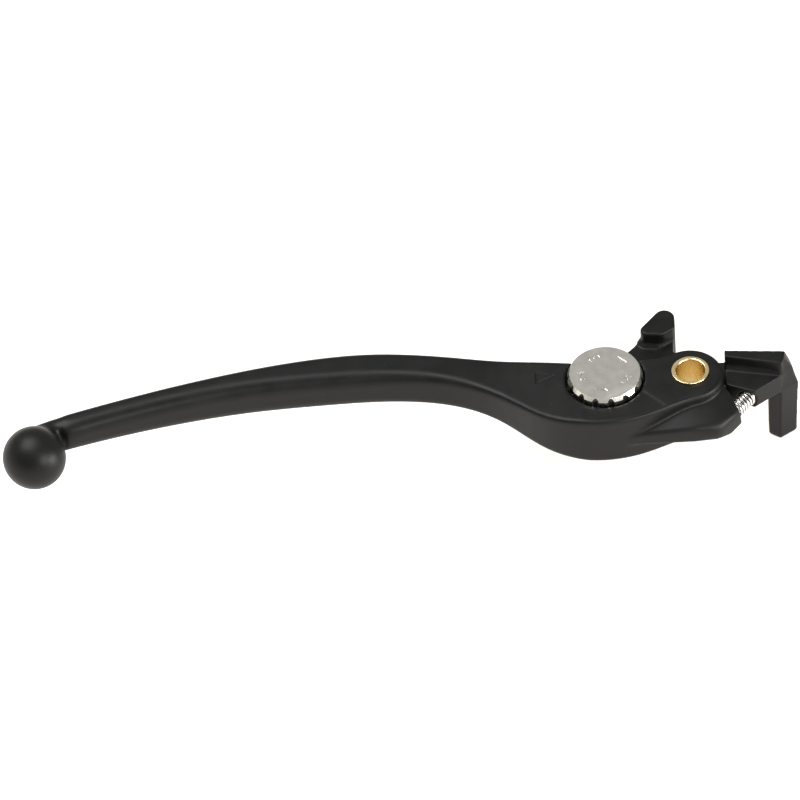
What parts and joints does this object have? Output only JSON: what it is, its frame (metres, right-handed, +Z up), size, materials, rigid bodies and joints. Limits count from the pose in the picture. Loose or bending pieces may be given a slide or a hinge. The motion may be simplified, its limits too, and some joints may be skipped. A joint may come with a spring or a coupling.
{
  "type": "clutch lever",
  "caption": "Forged hydraulic clutch or brake lever with a ball end, numbered reach dial, brass pivot bush and a sprung pusher arm with a piston post and switch hook.",
  "frame": {"origin": "on the pivot axis, at mid thickness of the lever", "axes": "+Z up along the pivot axis on the dial side, +X inboard with the ball end at -X, +Y towards the handlebar grip"},
  "size_m": [0.2206, 0.0455, 0.0324],
  "materials": {
    "lever_coat": "satin black powder coat on forged aluminium",
    "arm_coat": "satin black coat on forged aluminium",
    "bush_brass": "turned brass",
    "dial_silver": "satin silver plating with engraved numbers",
    "spring_steel": "bright drawn spring wire",
    "spindle_steel": "ground steel",
    "plated_steel": "zinc plated steel",
    "seal_rubber": "black nitrile rubber"
  },
  "bodies": {
    "pivot": {"pivot_bush": "bush_brass", "bush_retainer": "plated_steel"},
    "lever": {"lever_body": "lever_coat", "dial_seal": "seal_rubber", "detent_ball": "spring_steel", "detent_spring": "spring_steel", "return_spring": "spring_steel"},
    "dial": {"adjuster_dial": "dial_silver", "dial_spindle": "spindle_steel", "snail_cam": "spindle_steel", "spindle_washer": "plated_steel", "spindle_clip": "plated_steel"},
    "knocker": {"pusher_arm": "arm_coat"}
  },
  "joints": [
    {"name": "lever_swing", "type": "hinge", "parent": "pivot", "child": "lever", "pos_m": [0, 0, 0], "axis": [0, 0, 1], "range_deg": [-20, 0]},
    {"name": "dial_turn", "type": "hinge", "parent": "lever", "child": "dial", "pos_m": [-0.0236, -0.0007, 0], "axis": [0, 0, 1], "range_deg": [-72, 216]},
    {"name": "knocker_pivot", "type": "hinge", "parent": "lever", "child": "knocker", "pos_m": [0, 0, 0], "axis": [0, 0, 1], "range_deg": [-4.6, 1.6], "deforming": ["return_spring"]}
  ],
  "couplings": [
    {"joint": "knocker_pivot", "follows": "dial_turn", "ratio": -0.020232}
  ]
}
